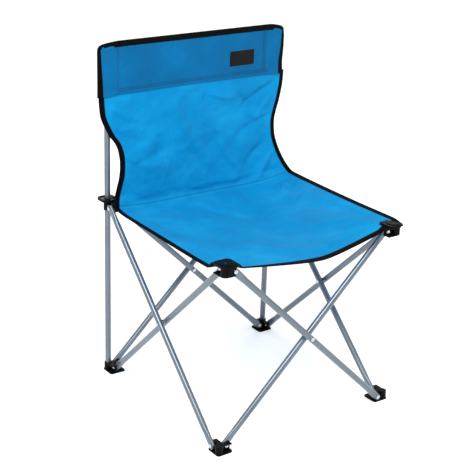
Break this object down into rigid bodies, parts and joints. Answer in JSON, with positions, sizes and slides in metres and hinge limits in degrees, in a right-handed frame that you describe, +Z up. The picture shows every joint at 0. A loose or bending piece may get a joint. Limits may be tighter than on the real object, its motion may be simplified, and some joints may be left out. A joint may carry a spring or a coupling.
{
  "type": "folding camping chair",
  "caption": "Armless quad-fold camping chair: steel scissor frame on moulded corners, fabric seat and backrest hung from posts.",
  "frame": {"origin": "centre of the footprint box, on the ground", "axes": "+Z up; the chair faces -Y; +X to the right when looking from the front along +Y"},
  "size_m": [0.52, 0.5034, 0.805],
  "materials": {
    "bar_tube": "grey powder coat, satin",
    "post_tube": "grey powder coat, satin",
    "rivet_steel": "bright zinc plated",
    "screw_steel": "black oxide",
    "moulded_black": "moulded nylon",
    "cap_black": "moulded, semi-gloss",
    "webbing_black": "reinforced polyester",
    "binding_black": "woven polypropylene tape",
    "blue_fabric": "plain-weave coated polyester",
    "band_fabric": "doubled plain-weave coated polyester",
    "label_fabric": "woven label, bare"
  },
  "bodies": {
    "rear_left_leg": {"rear_left_foot": "moulded_black", "rear_left_foot_rivets": "rivet_steel", "left_post": "post_tube", "left_post_plug": "cap_black", "left_sleeve": "band_fabric", "back_upper_panel": "blue_fabric", "back_upper_binding": "binding_black", "band_panel": "band_fabric", "top_binding": "binding_black", "label_patch": "label_fabric"},
    "rear_outer_bar": {"rear_outer_bar": "bar_tube", "rear_crossing_rivet": "rivet_steel"},
    "rear_inner_bar": {"rear_inner_bar": "bar_tube"},
    "rear_right_leg": {"rear_right_foot": "moulded_black", "rear_right_foot_rivets": "rivet_steel", "right_post": "post_tube", "right_post_plug": "cap_black", "right_sleeve": "band_fabric"},
    "rear_right_slider": {"rear_right_slider": "moulded_black", "rear_right_hub_rivets": "rivet_steel", "rear_right_patch": "webbing_black", "rear_right_patch_screw": "screw_steel"},
    "rear_left_slider": {"rear_left_slider": "moulded_black", "rear_left_hub_rivets": "rivet_steel", "rear_left_patch": "webbing_black", "rear_left_patch_screw": "screw_steel"},
    "left_inner_bar": {"left_inner_bar": "bar_tube", "left_crossing_rivet": "rivet_steel"},
    "left_outer_bar": {"left_outer_bar": "bar_tube"},
    "front_left_hub": {"front_left_hub": "moulded_black", "front_left_hub_rivets": "rivet_steel", "front_left_cap": "cap_black", "front_left_cap_screw": "screw_steel", "front_left_patch": "webbing_black"},
    "front_left_foot": {"front_left_foot": "moulded_black", "front_left_foot_rivets": "rivet_steel"},
    "right_outer_bar": {"right_outer_bar": "bar_tube", "right_crossing_rivet": "rivet_steel"},
    "right_inner_bar": {"right_inner_bar": "bar_tube"},
    "front_right_hub": {"front_right_hub": "moulded_black", "front_right_hub_rivets": "rivet_steel", "front_right_cap": "cap_black", "front_right_cap_screw": "screw_steel", "front_right_patch": "webbing_black"},
    "front_right_foot": {"front_right_foot": "moulded_black", "front_right_foot_rivets": "rivet_steel"},
    "front_inner_bar": {"front_inner_bar": "bar_tube", "front_crossing_rivet": "rivet_steel"},
    "front_outer_bar": {"front_outer_bar": "bar_tube"},
    "seat_front": {"seat_front_panel": "blue_fabric", "seat_front_binding": "binding_black"},
    "seat_rear": {"seat_rear_panel": "blue_fabric", "seat_rear_binding": "binding_black"},
    "back_lower": {"back_lower_panel": "blue_fabric", "back_lower_binding": "binding_black"}
  },
  "joints": [
    {"name": "fold", "type": "hinge", "parent": "rear_left_leg", "child": "rear_outer_bar", "pos_m": [-0.214, 0.23445, 0.012], "axis": [0, -1, 0], "range_deg": [0, 40.36], "deforming": ["seat_front_panel", "seat_front_binding", "seat_rear_panel", "seat_rear_binding", "back_lower_panel", "back_lower_binding", "back_upper_panel", "back_upper_binding", "band_panel", "top_binding", "label_patch"]},
    {"name": "rear_right_slider_pivot", "type": "hinge", "parent": "rear_outer_bar", "child": "rear_right_slider", "pos_m": [0.214, 0.23445, 0.423], "axis": [0, -1, 0], "range_deg": [-40.96, 0]},
    {"name": "rear_crossing", "type": "hinge", "parent": "rear_outer_bar", "child": "rear_inner_bar", "pos_m": [0, 0.2267, 0.2175], "axis": [0, -1, 0], "range_deg": [-81.32, 0]},
    {"name": "rear_right_leg_pivot", "type": "hinge", "parent": "rear_inner_bar", "child": "rear_right_leg", "pos_m": [0.214, 0.21895, 0.012], "axis": [0, -1, 0], "range_deg": [0, 40.96]},
    {"name": "rear_left_slider_pivot", "type": "hinge", "parent": "rear_inner_bar", "child": "rear_left_slider", "pos_m": [-0.214, 0.21895, 0.423], "axis": [0, -1, 0], "range_deg": [0, 40.96]},
    {"name": "left_inner_foot_pivot", "type": "hinge", "parent": "rear_left_leg", "child": "left_inner_bar", "pos_m": [-0.2235, 0.20945, 0.012], "axis": [-1, 0, 0], "range_deg": [0, 40.96]},
    {"name": "front_left_hub_pivot", "type": "hinge", "parent": "left_inner_bar", "child": "front_left_hub", "pos_m": [-0.2235, -0.21855, 0.423], "axis": [-1, 0, 0], "range_deg": [-40.96, 0]},
    {"name": "left_crossing", "type": "hinge", "parent": "left_inner_bar", "child": "left_outer_bar", "pos_m": [-0.23125, -0.00455, 0.2175], "axis": [-1, 0, 0], "range_deg": [-81.32, 0]},
    {"name": "front_left_foot_pivot", "type": "hinge", "parent": "left_outer_bar", "child": "front_left_foot", "pos_m": [-0.239, -0.21855, 0.012], "axis": [-1, 0, 0], "range_deg": [0, 40.96]},
    {"name": "right_outer_foot_pivot", "type": "hinge", "parent": "rear_right_leg", "child": "right_outer_bar", "pos_m": [0.239, 0.20945, 0.012], "axis": [-1, 0, 0], "range_deg": [0, 40.96]},
    {"name": "front_right_hub_pivot", "type": "hinge", "parent": "right_outer_bar", "child": "front_right_hub", "pos_m": [0.239, -0.21855, 0.423], "axis": [-1, 0, 0], "range_deg": [-40.96, 0]},
    {"name": "right_crossing", "type": "hinge", "parent": "right_outer_bar", "child": "right_inner_bar", "pos_m": [0.23125, -0.00455, 0.2175], "axis": [-1, 0, 0], "range_deg": [-81.32, 0]},
    {"name": "front_right_foot_pivot", "type": "hinge", "parent": "right_inner_bar", "child": "front_right_foot", "pos_m": [0.2235, -0.21855, 0.012], "axis": [-1, 0, 0], "range_deg": [0, 40.96]},
    {"name": "front_inner_foot_pivot", "type": "hinge", "parent": "front_left_foot", "child": "front_inner_bar", "pos_m": [-0.214, -0.22805, 0.012], "axis": [0, -1, 0], "range_deg": [0, 40.96]},
    {"name": "front_crossing", "type": "hinge", "parent": "front_inner_bar", "child": "front_outer_bar", "pos_m": [0, -0.2358, 0.2175], "axis": [0, -1, 0], "range_deg": [-81.32, 0]},
    {"name": "seat_front_fold", "type": "hinge", "parent": "front_left_hub", "child": "seat_front", "pos_m": [0, -0.21855, 0.434], "axis": [-1, 0, 0], "range_deg": [0, 77.1]},
    {"name": "seat_rear_fold", "type": "hinge", "parent": "rear_left_slider", "child": "seat_rear", "pos_m": [0, 0.19345, 0.426], "axis": [1, 0, 0], "range_deg": [0, 84.1]},
    {"name": "back_lower_fold", "type": "hinge", "parent": "rear_left_slider", "child": "back_lower", "pos_m": [0, 0.19475, 0.427], "axis": [-1, 0, 0], "range_deg": [0, 161.6]}
  ],
  "couplings": [
    {"joint": "rear_right_slider_pivot", "follows": "fold", "ratio": -1},
    {"joint": "rear_crossing", "follows": "fold", "ratio": -2},
    {"joint": "rear_right_leg_pivot", "follows": "fold", "ratio": 1},
    {"joint": "rear_left_slider_pivot", "follows": "fold", "ratio": 1},
    {"joint": "left_inner_foot_pivot", "follows": "fold", "ratio": 1},
    {"joint": "front_left_hub_pivot", "follows": "fold", "ratio": -1},
    {"joint": "left_crossing", "follows": "fold", "ratio": -2},
    {"joint": "front_left_foot_pivot", "follows": "fold", "ratio": 1},
    {"joint": "right_outer_foot_pivot", "follows": "fold", "ratio": 1},
    {"joint": "front_right_hub_pivot", "follows": "fold", "ratio": -1},
    {"joint": "right_crossing", "follows": "fold", "ratio": -2},
    {"joint": "front_right_foot_pivot", "follows": "fold", "ratio": 1},
    {"joint": "front_inner_foot_pivot", "follows": "fold", "ratio": 1},
    {"joint": "front_crossing", "follows": "fold", "ratio": -2},
    {"joint": "seat_front_fold", "follows": "fold", "ratio": 1.8954},
    {"joint": "seat_rear_fold", "follows": "fold", "ratio": 2.0689},
    {"joint": "back_lower_fold", "follows": "fold", "ratio": 3.9891}
  ]
}
